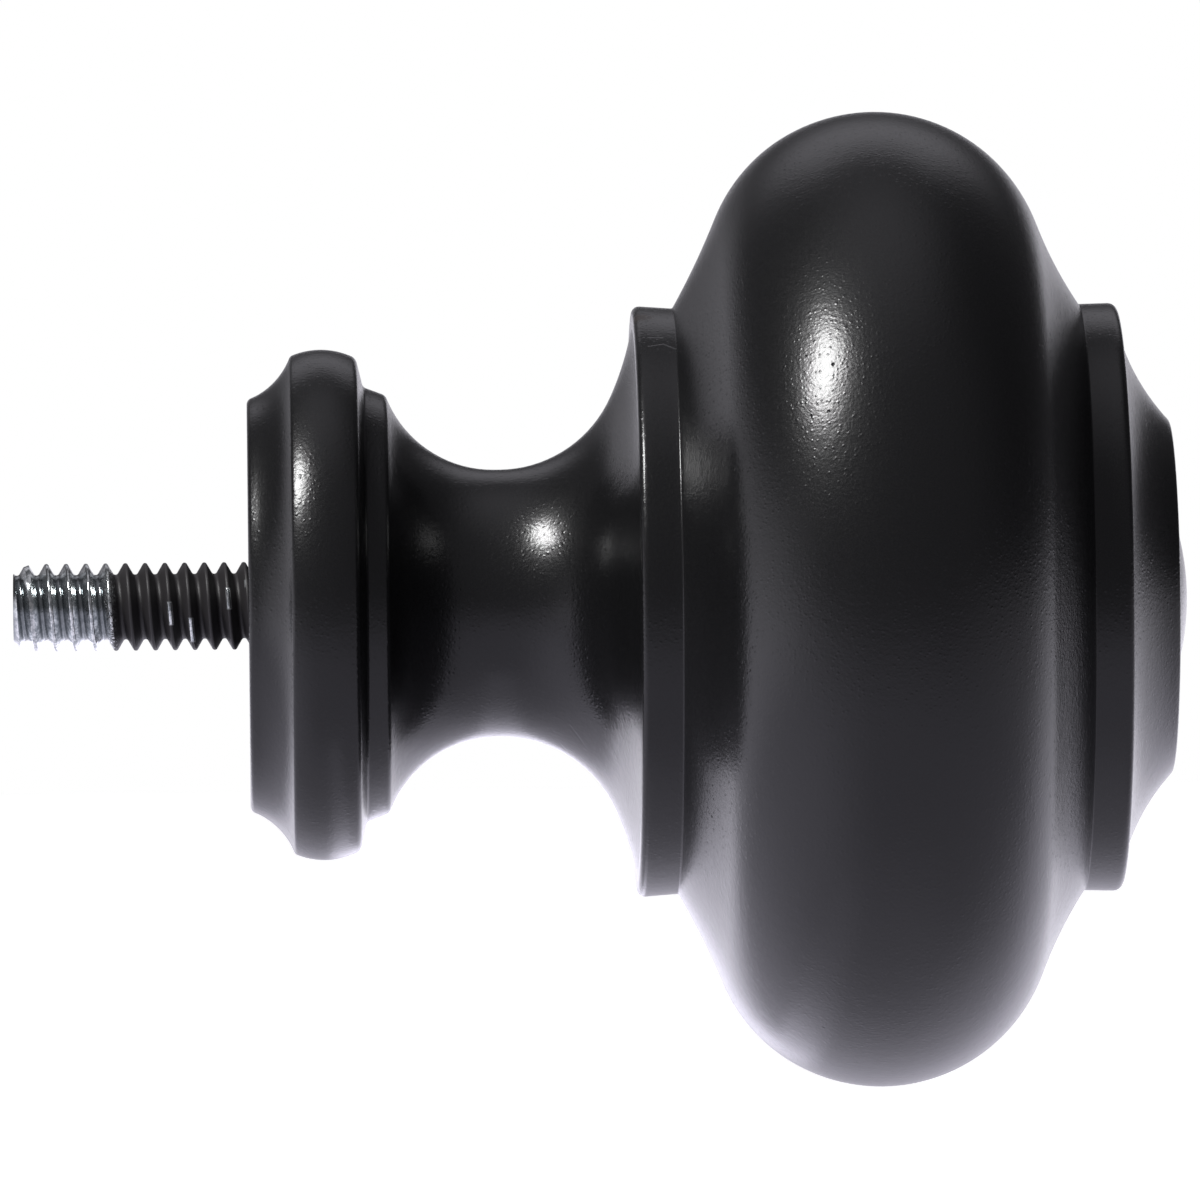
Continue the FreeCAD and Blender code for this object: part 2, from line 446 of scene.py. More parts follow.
def build_orange_peel() -> None:
    """Fills the group that gives the dimpled skin of a spray or plate, in metres of height."""
    graph, takes, gives = ORANGE_PEEL.begin()
    scale = graph.math("DIVIDE", 1.0, takes["Cell"])
    fine = graph.noise(takes["Position"], scale, detail=1.0)
    wide = graph.noise(takes["Position"], graph.math("MULTIPLY", scale, WIDE_PEEL_SCALE))
    both = graph.math("MULTIPLY_ADD", wide, WIDE_PEEL_SHARE, fine)
    graph.feed(gives, graph.math("MULTIPLY", both, takes["Depth"]))


def build_specks() -> None:
    """Fills the group that scatters small round specks, one in each cell of a share of them."""
    graph, takes, gives = SPECKS.begin()
    scale = graph.math("DIVIDE", 1.0, takes["Spacing"])
    cells = graph.add("TexVoronoi", {"Vector": takes["Position"], "Scale": scale})
    away = graph.math("MULTIPLY", cells.outputs["Distance"], takes["Spacing"])
    dot = graph.fade(away, takes["Radius"], 0.0)
    lot = graph.add("SeparateColor", {0: cells.outputs["Color"]}).outputs[0]
    chosen = graph.math("LESS_THAN", lot, takes["Share"])
    graph.feed(gives, graph.math("MULTIPLY", dot, chosen))


def build_score_mark() -> None:
    """Fills the group that masks one scored line, where Unit is its Way over its squared length."""
    graph, takes, gives = SCORE_MARK.begin()
    step = graph.vector("SUBTRACT", takes["Position"], takes["From"])
    along = graph.vector("DOT_PRODUCT", step, takes["Unit"], result="Value")
    share = graph.add("Clamp", {0: along}).outputs[0]
    foot = graph.add("VectorMath", {0: takes["Way"], "Scale": share}, operation="SCALE").outputs[0]
    away = graph.vector("DISTANCE", step, foot, result="Value")
    graph.feed(gives, graph.fall(away, takes["Width"]))


def build_spot() -> None:
    """Fills the group that masks one small round spot."""
    graph, takes, gives = SPOT.begin()
    away = graph.vector("DISTANCE", takes["Position"], takes["Centre"], result="Value")
    graph.feed(gives, graph.fall(away, takes["Radius"]))


def build_groups() -> None:
    """Builds each shared shader group once."""
    for build in (build_orange_peel, build_specks, build_score_mark, build_spot):
        build()


def near_point(at: Triple) -> Vector:
    """Finds a point on the side that the photo shows, from its x, z and radius in millimetres."""
    x, z, radius = at
    return Vector((x, -math.sqrt(radius ** 2 - z ** 2), z)) * MM


@dataclass(frozen=True)
class Score:
    """A short line in the paint, in millimetres: x, z and the surface's radius at both ends."""

    start: Triple
    end: Triple
    rise: float  # micrometres, negative where it is cut in

    def ends(self) -> tuple[Vector, Vector]:
        """Both ends in the frame."""
        return near_point(self.start), near_point(self.end)


@dataclass(frozen=True)
class Spot:
    """A pinhole or a nib in the paint, in millimetres: x, z and the surface's radius."""

    at: Triple
    size: float  # its radius
    rise: float  # micrometres, negative for a pinhole

    def centre(self) -> Vector:
        """Its centre in the frame."""
        return near_point(self.at)


@dataclass(frozen=True)
class RoughRim:
    """A rim where the paint is dry and chipped: a band along the axis, outside a radius."""

    start: float = 20.66 * MM
    end: float = 21.10 * MM
    outside: float = 15.2 * MM
    edge: float = 0.2 * MM  # over which it fades in
    grain: float = 0.07 * MM
    height: float = 0.012 * MM
    worst: Triple = (20.95, 15.2, 15.85)  # x, z and radius in millimetres of the worst place
    worst_size: float = 0.95 * MM
    worst_height: float = 0.045 * MM
    bare_from: float = 0.45  # level of the noise where the paint is off
    bare_to: float = 0.60


PLATE_MARKS = (
    Score((21.4, 13.55, 15.83), (22.2, 13.66, 15.77), 14.0),
    Score((22.2, 13.66, 15.77), (22.8, 13.40, 15.72), 14.0),
    Score((21.4, 14.08, 15.83), (22.2, 14.06, 15.77), -10.0),
)
NECK_MARKS = (
    Score((16.1, -6.7, 7.68), (16.8, -7.8, 8.03), -12.0),
    Score((17.1, -6.6, 8.21), (17.8, -7.6, 8.76), -12.0),
)
PINHOLES = (
    Spot((3.79, -12.91, 13.70), 0.09, -40.0),
    Spot((18.78, -9.23, 9.77), 0.10, -60.0),
    Spot((24.30, -11.34, 18.42), 0.10, -40.0),
    Spot((45.02, 14.28, 15.76), 0.08, -40.0),
    Spot((30.21, -22.61, 25.47), 0.10, -50.0),
    Spot((32.12, -24.58, 26.03), 0.09, -40.0),
    Spot((30.64, 12.31, 25.64), 0.11, -30.0),
    Spot((29.27, 12.76, 25.03), 0.09, -25.0),
    Spot((30.34, 9.82, 25.53), 0.11, -25.0),
    Spot((29.43, 9.60, 25.12), 0.11, -25.0),
)
NIBS = (
    Spot((6.93, -11.34, 11.42), 0.13, 22.0),
    Spot((27.21, 22.40, 23.50), 0.13, 18.0),
    Spot((29.39, 17.06, 25.09), 0.12, 14.0),
)


@dataclass(frozen=True)
class SatinBlackPaint:
    """Satin black spray paint with an orange peel, a few pinholes and nibs."""

    name: str = "satin_black_paint"
    colour: Colour = (0.0066, 0.0066, 0.0071, 1.0)
    worn_colour: Colour = (0.060, 0.045, 0.038, 1.0)
    roughness: float = 0.235
    matt_roughness: float = 0.46  # of the matting grains in the paint
    matt_grain: float = 0.018 * MM
    matt_start: float = 0.59  # level of the noise from which a grain is matt
    matt_full: float = 0.64
    peel_cell: float = 0.19 * MM
    peel_depth: float = 0.0100 * MM
    pebble_spacing: float = 0.27 * MM
    pebble_radius: float = 0.11 * MM
    pebble_height: float = 0.0085 * MM
    pebble_share: float = 0.6  # of the cells that hold one
    score_width: float = 0.08 * MM
    scores: tuple[Score, ...] = PLATE_MARKS + NECK_MARKS
    spots: tuple[Spot, ...] = PINHOLES + NIBS
    rough_rim: RoughRim = RoughRim()

    def material(self) -> Material:
        """Makes the paint.

        Returns:
            The material.
        """
        material, graph, shader = new_material(self.name)
        place = graph.add("TexCoord").outputs["Object"]
        peel = ORANGE_PEEL.place(graph, Position=place, Cell=self.peel_cell, Depth=self.peel_depth)
        pebbles = SPECKS.place(graph, Position=place, Spacing=self.pebble_spacing,
                               Radius=self.pebble_radius, Share=self.pebble_share)
        height = graph.math("MULTIPLY_ADD", pebbles, self.pebble_height, peel)
        for score in self.scores:
            first, last = score.ends()
            way = last - first
            mark = SCORE_MARK.place(graph, Position=place, From=first, Way=way,
                                    Unit=way / way.length_squared, Width=self.score_width)
            height = graph.math("MULTIPLY_ADD", mark, score.rise * MICRON, height)
        for spot in self.spots:
            mark = SPOT.place(graph, Position=place, Centre=spot.centre(), Radius=spot.size * MM)
            height = graph.math("MULTIPLY_ADD", mark, spot.rise * MICRON, height)
        chips, marked = self.rim_wear(graph, place)
        graph.relief(shader, graph.math("ADD", height, chips))
        grains = graph.noise(place, 1.0 / self.matt_grain, detail=1.0)
        grainy = graph.fade(grains, self.matt_start, self.matt_full)
        matt = graph.blend(grainy, self.roughness, self.matt_roughness)
        graph.feed(shader.inputs["Roughness"], graph.blend(marked, matt, self.matt_roughness))
        graph.feed(shader.inputs["Base Color"], graph.tint(marked, self.colour, self.worn_colour))
        return material

    def rim_wear(self, graph: Graph, place: Socket) -> tuple[Socket, Socket]:
        """Works out the dry and chipped paint on the rear plate's rim.

        Args:
            graph: The material's graph.
            place: The output with the position.

        Returns:
            The outputs with its height in metres and with how worn it is, from 0 to 1.
        """
        rim = self.rough_rim
        x = graph.add("SeparateXYZ", {0: place}).outputs[0]
        band = graph.math("MULTIPLY", graph.fade(x, rim.end, rim.start),
                          graph.fade(graph.radius(place), rim.outside, rim.outside + rim.edge))
        chips = graph.noise(place, 1.0 / rim.grain)
        worst = SPOT.place(graph, Position=place, Centre=near_point(rim.worst), Radius=rim.worst_size)
        relief = graph.math("MULTIPLY_ADD", worst, rim.worst_height,
                            graph.math("MULTIPLY", band, rim.height))
        height = graph.math("MULTIPLY", relief, chips)
        bare = graph.math("MULTIPLY", worst, graph.fade(chips, rim.bare_from, rim.bare_to))
        return height, bare


@dataclass(frozen=True)
class WornPatch:
    """Part of a thread crest where the black overspray has rubbed off."""

    x: float
    z: float
    half_length: float = 0.35 * MM  # along the axis, wide enough for one crest
    half_height: float = 0.60 * MM
    core: float = 0.8  # share of it that is wholly bare


@dataclass(frozen=True)
class ZincPlate:
    """Bright zinc plate, with black overspray on the half beside the body and painted shade in the thread
    roots.
    """

    name: str = "zinc_plated_steel"
    bright: Colour = (0.80, 0.82, 0.82, 1.0)
    dull: Colour = (0.42, 0.45, 0.46, 1.0)
    overspray: Colour = (0.0175, 0.0160, 0.0170, 1.0)
    zinc_roughness: tuple[float, float] = (0.07, 0.22)
    paint_roughness: float = 0.52
    grain: float = 0.11 * MM
    grain_depth: float = 0.0055 * MM
    painted_grain: float = 0.35  # its depth under the overspray
    blotch_size: float = 0.26 * MM  # of the dull blotches
    blotch_levels: tuple[float, float] = (0.42, 0.58)
    mist_spacing: float = 0.16 * MM  # specks of black mist on the zinc
    mist_radius: float = 0.06 * MM
    mist_reach: float = 1.6 * MM  # from the overspray's edge
    mist_share: tuple[float, float] = (0.03, 0.42)  # of the cells, at its far end and at the edge
    mist_cover: float = 0.9
    edge_x: float = -7.35 * MM  # where the overspray ends
    edge_wander: float = 2.20 * MM  # full range of the ragged edge
    edge_soft: float = 0.12 * MM  # half its width
    speck_size: float = 0.10 * MM
    crest_radii: tuple[float, float] = (2.22 * MM, 2.29 * MM)  # rubbed bare above them
    # painted shade: a darker zinc colour in the thread roots, standing in for the shade in the grooves
    root_shade_colour: Colour = (0.19, 0.21, 0.22, 1.0)
    root_radii: tuple[float, float] = (2.17 * MM, 1.91 * MM)  # the painted shade in the roots begins and is full
    root_wander: float = 0.30 * MM
    root_cover: float = 0.85
    worn: tuple[WornPatch, ...] = (
        WornPatch(-4.19 * MM, -0.38 * MM, half_height=0.67 * MM),
        WornPatch(-2.98 * MM, -1.27 * MM, half_height=0.70 * MM),
        WornPatch(-1.10 * MM, 0.40 * MM, half_height=0.62 * MM),
        WornPatch(-0.48 * MM, 1.18 * MM, half_height=0.22 * MM),
    )

    def cover(self, graph: Graph, place: Socket) -> Socket:
        """Works out where the black overspray covers the zinc.

        Args:
            graph: The material's graph.
            place: The output with the position.

        Returns:
            The output with the cover, from 0 to 1.
        """
        x, y, z = graph.add("SeparateXYZ", {0: place}).outputs
        ragged = graph.noise(place, 1.0 / self.speck_size, detail=3.0, roughness=0.7)
        wander = graph.math("MULTIPLY", graph.math("SUBTRACT", ragged, 0.5), self.edge_wander)
        edge = graph.math("ADD", x, wander)
        cover = graph.fade(edge, self.edge_x - self.edge_soft, self.edge_x + self.edge_soft)
        share = graph.fade(x, self.edge_x - self.mist_reach, self.edge_x, *self.mist_share)
        mist = SPECKS.place(graph, Position=place, Spacing=self.mist_spacing, Radius=self.mist_radius,
                            Share=share)
        cover = graph.math("MAXIMUM", cover, graph.math("MULTIPLY", mist, self.mist_cover))
        crest = graph.fade(graph.radius(place), *self.crest_radii)
        near_crest = graph.math("MULTIPLY", crest, graph.math("LESS_THAN", y, 0.0))
        for patch in self.worn:
            bare = near_crest
            for way, middle, reach in ((x, patch.x, patch.half_length), (z, patch.z, patch.half_height)):
                away = graph.math("ABSOLUTE", graph.math("SUBTRACT", way, middle))
                bare = graph.math("MULTIPLY", graph.fade(away, reach, patch.core * reach), bare)
            cover = graph.math("MULTIPLY", cover, graph.math("SUBTRACT", 1.0, bare))
        return cover

    def material(self) -> Material:
        """Makes the plated finish.

        Returns:
            The material.
        """
        material, graph, shader = new_material(self.name)
        place = graph.add("TexCoord").outputs["Object"]
        cover = self.cover(graph, place)
        grain = ORANGE_PEEL.place(graph, Position=place, Cell=self.grain, Depth=self.grain_depth)
        blotch = graph.noise(place, 1.0 / self.blotch_size, detail=4.0, roughness=0.7)
        dulled = graph.fade(blotch, *self.blotch_levels)
        ragged = graph.math("MULTIPLY_ADD", blotch, self.root_wander, graph.radius(place))
        # painted shade: the zinc darkens towards the thread roots, where shade falls in the grooves
        root_shade = graph.fade(ragged, *self.root_radii, 0.0, self.root_cover)
        zinc = graph.tint(root_shade, graph.tint(dulled, self.bright, self.dull), self.root_shade_colour)
        graph.feed(shader.inputs["Base Color"], graph.tint(cover, zinc, self.overspray))
        graph.feed(shader.inputs["Metallic"], graph.math("SUBTRACT", 1.0, cover))
        matt = graph.blend(dulled, *self.zinc_roughness)
        graph.feed(shader.inputs["Roughness"], graph.blend(cover, matt, self.paint_roughness))
        calm = graph.blend(cover, 1.0, self.painted_grain)
        graph.relief(shader, graph.math("MULTIPLY", grain, calm))
        return material


@dataclass(frozen=True)
class StudHole:
    """Blind hole for the stud, and the flat seat round its mouth."""

    stud_in: float  # length of stud that the body holds
    hole_r: float = 2.099 * MM
    mouth_r: float = 2.60 * MM  # countersunk mouth
    end_gap: float = 0.80 * MM  # beyond the stud's inner end
    drill_point: float = math.radians(118.0)
    seat_r: float = 11.03 * MM
    seat_edge: float = 0.35 * MM

    def bottom(self) -> Vector:
        """The point of the drilled hole, where the outline starts."""
        depth = self.stud_in + self.end_gap
        return Vector((depth + self.hole_r / math.tan(self.drill_point / 2.0), 0.0, 0.0))

    def draw(self, pen: Pen) -> None:
        """Draws the hole's wall, its mouth and the seat.

        Args:
            pen: The pen, at the hole's bottom.
        """
        pen.trace((self.stud_in + self.end_gap, self.hole_r),
                  (self.mouth_r - self.hole_r, self.hole_r), (0.0, self.mouth_r))
        pen.line(0.0, self.seat_r)
        pen.corner(self.seat_edge)


@dataclass(frozen=True)
class Bead:
    """Cove, bead and collar beside the seat."""

    cove_length: float = 2.35 * MM
    cove_depth: float = 0.37 * MM
    rear_r: float = 13.36 * MM
    crown_r: float = 13.70 * MM
    front_r: float = 13.22 * MM
    length: float = 3.53 * MM
    crown_at: float = 1.58 * MM  # from the bead's rear edge
    rear_edge: float = 0.30 * MM
    front_edge: float = 0.50 * MM
    wall_draft: float = 0.37 * MM
    collar_rear_r: float = 11.67 * MM
    collar_front_r: float = 11.22 * MM
    collar_length: float = 1.20 * MM
    collar_root: float = 0.30 * MM
    collar_edge: float = 0.45 * MM

    def draw(self, pen: Pen) -> None:
        """Draws the cove, the bead's crown and front wall, and the collar.

        Args:
            pen: The pen, at the seat's rim.
        """
        pen.hollow(pen.tip.x + self.cove_length, self.rear_r, self.cove_depth)
        pen.corner(self.rear_edge)
        crown = Vector((pen.tip.x + self.crown_at, 0.0, self.crown_r))
        pen.arc_through(crown, Vector((pen.tip.x + self.length, 0.0, self.front_r)))
        pen.corner(self.front_edge)
        pen.line(pen.tip.x + self.wall_draft, self.collar_rear_r)
        pen.corner(self.collar_root)
        pen.line(pen.tip.x + self.collar_length, self.collar_front_r)
        pen.corner(self.collar_edge)


@dataclass(frozen=True)
class Neck:
    """Scotia neck with a short straight waist, flared out to the rear plate."""

    waist_r: float = 7.17 * MM
    waist_length: float = 0.30 * MM
    rear_hollow: float = 6.15 * MM
    front_hollow: float = 6.60 * MM
    front_turn: float = math.radians(65.4)
    flare: float = 16.0 * MM
    flare_turn: float = math.radians(13.6)
    root: float = 0.10 * MM  # paint gathered in the corner at the plate

    def draw(self, pen: Pen) -> None:
        """Draws the neck.

        Args:
            pen: The pen, at the collar's front edge.
        """
        rear_turn = math.acos((self.waist_r + self.rear_hollow - pen.tip.z) / self.rear_hollow)
        waist_x = pen.tip.x + self.rear_hollow * math.sin(rear_turn)
        pen.arc(Vector((waist_x, 0.0, self.waist_r + self.rear_hollow)), -rear_turn)
        pen.line(pen.tip.x + self.waist_length, self.waist_r)
        front_centre = Vector((pen.tip.x, 0.0, self.waist_r + self.front_hollow))
        pen.arc(front_centre, -self.front_turn)
        flare_centre = on_circle(front_centre, self.flare - self.front_hollow, -self.front_turn)
        pen.arc(flare_centre, -self.flare_turn)
        pen.corner(self.root)


@dataclass(frozen=True)
class Head:
    """Flattened ball with a hollow skirt on each side, and the plate that it stands on."""

    radius: float  # at the crown
    plate_rear_r: float = 15.88 * MM
    plate_front_r: float = 15.72 * MM
    plate_length: float = 2.20 * MM
    plate_edge: float = 0.40 * MM
    rear_crown: float = 9.40 * MM
    rear_crown_turn: float = math.radians(31.5)
    shoulder: float = 8.95 * MM
    shoulder_turn: float = math.radians(36.2)
    rear_skirt: float = 42.0 * MM
    front_crown: float = 9.20 * MM
    front_turn: float = math.radians(69.0)
    front_skirt: float = 23.2 * MM
    foot_r: float = 15.75 * MM  # where the front skirt meets the front plate
    root: float = 0.13 * MM  # paint gathered in the corners at the plates

    @staticmethod
    def foot_angle(shoulder: Vector, turn: float, skirt: float, foot_r: float) -> float:
        """Finds the angle at which a hollow skirt that leaves the round at a turn meets its plate."""
        return math.acos((shoulder.z + skirt * math.cos(turn) - foot_r) / skirt)

    def draw(self, pen: Pen) -> None:
        """Draws the rear plate, the rear skirt, the round and the front skirt.

        Args:
            pen: The pen, at the neck's flared end.
        """
        pen.line(pen.tip.x, self.plate_rear_r)
        pen.corner(self.plate_edge)
        pen.line(pen.tip.x + self.plate_length, self.plate_front_r)
        pen.corner(self.root)
        rear_turn = self.rear_crown_turn + self.shoulder_turn
        rear_centre = Vector((0.0, 0.0, self.radius - self.rear_crown))
        front_centre = Vector((0.0, 0.0, self.radius - self.front_crown))
        shoulder_centre = on_circle(rear_centre, self.rear_crown - self.shoulder, -self.rear_crown_turn)
        shoulder_end = on_circle(shoulder_centre, self.shoulder, -rear_turn)
        skirt_centre = on_circle(shoulder_end, self.rear_skirt, -rear_turn)
        foot = self.foot_angle(shoulder_end, rear_turn, self.rear_skirt, pen.tip.z)
        shift = Vector((pen.tip.x - on_circle(skirt_centre, -self.rear_skirt, -foot).x, 0.0, 0.0))
        pen.arc(skirt_centre + shift, foot - rear_turn)
        pen.arc(shoulder_centre + shift, self.shoulder_turn)
        pen.arc(rear_centre + shift, self.rear_crown_turn)
        pen.arc(front_centre + shift, self.front_turn)
        front_end = on_circle(front_centre, self.front_crown, self.front_turn)
        front_foot = self.foot_angle(front_end, self.front_turn, self.front_skirt, self.foot_r)
        front_skirt_centre = on_circle(front_end, self.front_skirt, self.front_turn)
        pen.arc(front_skirt_centre + shift, front_foot - self.front_turn)
        pen.corner(self.root)


@dataclass(frozen=True)
class Cap:
    """Front plate, hollow-sided cap and the low button on its end."""

    plate_r: float = 15.80 * MM
    plate_length: float = 2.05 * MM
    plate_edge: float = 0.45 * MM
    root_r: float = 14.40 * MM
    root: float = 0.15 * MM
    rim_r: float = 9.45 * MM
    length: float = 2.78 * MM
    hollow_depth: float = 0.34 * MM
    rim_edge: float = 0.35 * MM
    button_r: float = 4.90 * MM
    button_rise: float = 0.88 * MM
    button_root: float = 0.25 * MM

    def draw(self, pen: Pen) -> None:
        """Draws the plate, the cap and the button, up to the axis.

        Args:
            pen: The pen, at the foot of the head's front skirt.
        """
        pen.line(pen.tip.x + self.plate_length, self.plate_r)
        pen.corner(self.plate_edge)
        pen.line(pen.tip.x, self.root_r)
        pen.corner(self.root)
        pen.hollow(pen.tip.x + self.length, self.rim_r, self.hollow_depth)
        pen.corner(self.rim_edge)
        pen.line(pen.tip.x, self.button_r)
        pen.corner(self.button_root)
        dome = (self.button_rise ** 2 + self.button_r ** 2) / (2.0 * self.button_rise)
        centre = Vector((pen.tip.x + self.button_rise - dome, 0.0, 0.0))
        pen.arc(centre, math.asin(self.button_r / dome))


@dataclass
class FinialBody:
    """The turned and painted body, from the stud's hole to the button."""

    hole: StudHole
    head: Head
    paint: SatinBlackPaint
    bead: Bead = field(default_factory=Bead)
    neck: Neck = field(default_factory=Neck)
    cap: Cap = field(default_factory=Cap)
    flats: int = 320  # round the body
    wave_length: float = 3.4 * MM  # slow waves of the sprayed coat
    wave_depth: float = 0.010 * MM

    def build(self) -> Piece:
        """Models the body.

        Returns:
            The piece.
        """
        pen = Pen("painted_body", self.hole.bottom())
        for moulding in (self.hole, self.bead, self.neck, self.head, self.cap):
            moulding.draw(pen)
        piece = pen.turn_piece(self.flats)
        self.wave(piece)
        make_active(piece)
        bpy.ops.object.shade_smooth_by_angle(angle=CREASE)
        return piece

    def wave(self, piece: Piece) -> None:
        """Sinks the surface a little in slow waves, as sprayed and rubbed coats do.

        Args:
            piece: The body.
        """
        texture = bpy.data.textures.new("coat_waves", "CLOUDS")
        texture.noise_scale = self.wave_length
        displace = piece.modifiers.new("coat_waves", "DISPLACE")
        displace.texture = texture
        displace.texture_coords = "LOCAL"
        displace.strength = self.wave_depth
        displace.mid_level = 1.0
        apply_modifier(piece, displace)

    def dress(self, piece: Piece) -> None:
        """Paints the body and puts it in the frame.

        Args:
            piece: The body.
        """
        piece.data.materials.clear()
        piece.data.materials.append(self.paint.material())
        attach(piece, Body.ROOT.value)
        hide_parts(BODY_NODE)


@dataclass
class ThreadedStud:
    """The stud: a right-hand machine thread outside the body and a plain shank inside it."""

    tip_x: float
    inner_x: float
    crest_r: float
    finish: ZincPlate
    pitch: float = INCH / 24
    depth: float = 0.61 * MM
    crest_flat: float = 0.15 * MM
    crest_rounding: float = 0.10 * MM
    root_rounding: float = 0.16 * MM
    flank: float = math.radians(30.0)
    crest_x: float = -11.88 * MM  # a crest on the top side
    tip_r: float = 1.80 * MM
    dressed: tuple[tuple[float, float], ...] = ((0.32 * MM, 2.10 * MM), (0.80 * MM, 2.29 * MM))
    run_in: float = 0.20 * MM  # thread that runs on into the hole's mouth
    shank_r: float = 2.069 * MM
    inner_chamfer: float = 0.30 * MM
    flats: int = 64  # round the thread
    turns_before: int = 2  # spare ones that the blank cuts off
    crest_room: float = 0.01 * MM  # the blank stands clear of the crests by this
    shank_overlap: float = 0.10 * MM  # the shank starts this far inside the thread

    def thread(self) -> Piece:
        """Sweeps one turn's outline into the thread and closes its ends.

        Returns:
            The closed thread, longer than the stud.
        """
        half_crest = self.crest_flat / 2.0
        half_foot = half_crest + self.depth * math.tan(self.flank)
        start = self.crest_x - (self.turns_before + 0.5) * self.pitch
        root_r = self.crest_r - self.depth
        pen = Pen("threaded_stud_skin", Vector((start, 0.0, root_r)))
        crest = start + self.pitch / 2.0
        for off_crest, r, rounding in ((-half_foot, root_r, self.root_rounding),
                                       (-half_crest, self.crest_r, self.crest_rounding),
                                       (half_crest, self.crest_r, self.crest_rounding),
                                       (half_foot, root_r, self.root_rounding)):
            pen.trace((crest + off_crest, r))
            pen.corner(rounding)
        pen.trace((start + self.pitch, root_r))
        for corner, radius in pen.corners:
            pen.round_corner(corner, radius)
        bpy.ops.object.mode_set(mode="OBJECT")
        screw = pen.piece.modifiers.new("thread", "SCREW")
        screw.axis = "X"
        screw.screw_offset = self.pitch
        screw.iterations = math.ceil((self.run_in - start) / self.pitch) + self.turns_before
        screw.steps = self.flats
        screw.render_steps = self.flats
        apply_modifier(pen.piece, screw)
        make_active(pen.piece)
        bpy.ops.object.mode_set(mode="EDIT")
        bpy.ops.mesh.select_all(action="SELECT")
        bpy.ops.mesh.remove_doubles(threshold=SAME_PLACE)
        for x, outer in ((self.tip_x - self.pitch / 2.0, False), (self.run_in + self.pitch / 2.0, True)):
            bpy.ops.mesh.select_all(action="SELECT")
            bpy.ops.mesh.bisect(plane_co=(x, 0.0, 0.0), plane_no=(1.0, 0.0, 0.0), use_fill=True,
                                clear_inner=not outer, clear_outer=outer, threshold=SAME_PLACE)
        bpy.ops.mesh.select_all(action="SELECT")
        bpy.ops.mesh.normals_make_consistent(inside=False)
        bpy.ops.object.mode_set(mode="OBJECT")
        return pen.piece

    def blank(self) -> Piece:
        """Turns the blank that the thread is cut to, dressed down towards the tip.

        Returns:
            The blank.
        """
        over = self.crest_r + self.crest_room
        pen = Pen("blank", Vector((self.tip_x, 0.0, 0.0)))
        pen.trace((self.tip_x, self.tip_r))
        for from_tip, radius in self.dressed:
            pen.trace((self.tip_x + from_tip, radius))
        pen.trace((pen.tip.x + self.pitch, over), (self.run_in, over), (self.run_in, 0.0))
        return pen.turn_piece(self.flats)

    def shank(self) -> Piece:
        """Turns the plain shank that the body holds.

        Returns:
            The shank.
        """
        pen = Pen("shank", Vector((self.run_in - self.shank_overlap, 0.0, 0.0)))
        pen.trace((pen.tip.x, self.shank_r), (self.inner_x - self.inner_chamfer, self.shank_r),
                  (self.inner_x, self.shank_r - self.inner_chamfer), (self.inner_x, 0.0))
        return pen.turn_piece(self.flats)

    def build(self) -> Piece:
        """Models the stud.

        Returns:
            The piece.
        """
        piece = self.thread()
        combine(piece, self.blank(), Combine.INTERSECT)
        combine(piece, self.shank(), Combine.UNION)
        weld(piece)
        bpy.ops.object.shade_smooth_by_angle(angle=CREASE)
        return piece

    def dress(self, piece: Piece) -> None:
        """Plates the stud and puts it in the frame.

        Args:
            piece: The stud.
        """
        piece.data.materials.clear()
        piece.data.materials.append(self.finish.material())
        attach(piece, Body.ROOT.value)
        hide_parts(STUD_NODE)


@dataclass(frozen=True)
class SoftPanel:
    """A soft-edged bright patch of the studio, in degrees round the object.

    Azimuth 0 is the camera's side, 90 its right and 180 behind the object. Elevation is above
    the horizon.
    """

    azimuth: float
    half_width: float
    side_fade: float  # beyond the half width
    foot: float
    foot_fade: float  # below the foot
    top: float
    top_fade: float  # above the top
    level: float

    def light(self, graph: Graph, azimuth: Socket, elevation: Socket) -> Socket:
        """Works out how bright the panel is in the direction that is looked at.

        Args:
            graph: The world's graph.
            azimuth: The output with the direction's azimuth in degrees.
            elevation: The output with its elevation in degrees.

        Returns:
            The output with the brightness.
        """
        light, edges = self.level, []
        if self.half_width < HALF_TURN:
            turned = graph.math("SUBTRACT", azimuth, self.azimuth)
            off_side = graph.math("ABSOLUTE", graph.math("WRAP", turned, HALF_TURN, -HALF_TURN))
            edges.append((off_side, self.half_width + self.side_fade, self.half_width))
        if self.foot > -RIGHT_ANGLE:
            edges.append((elevation, self.foot - self.foot_fade, self.foot))
        if self.top < RIGHT_ANGLE:
            edges.append((elevation, self.top + self.top_fade, self.top))
        for value, dark, full in edges:
            light = graph.math("MULTIPLY", graph.fade(value, dark, full), light)
        return light


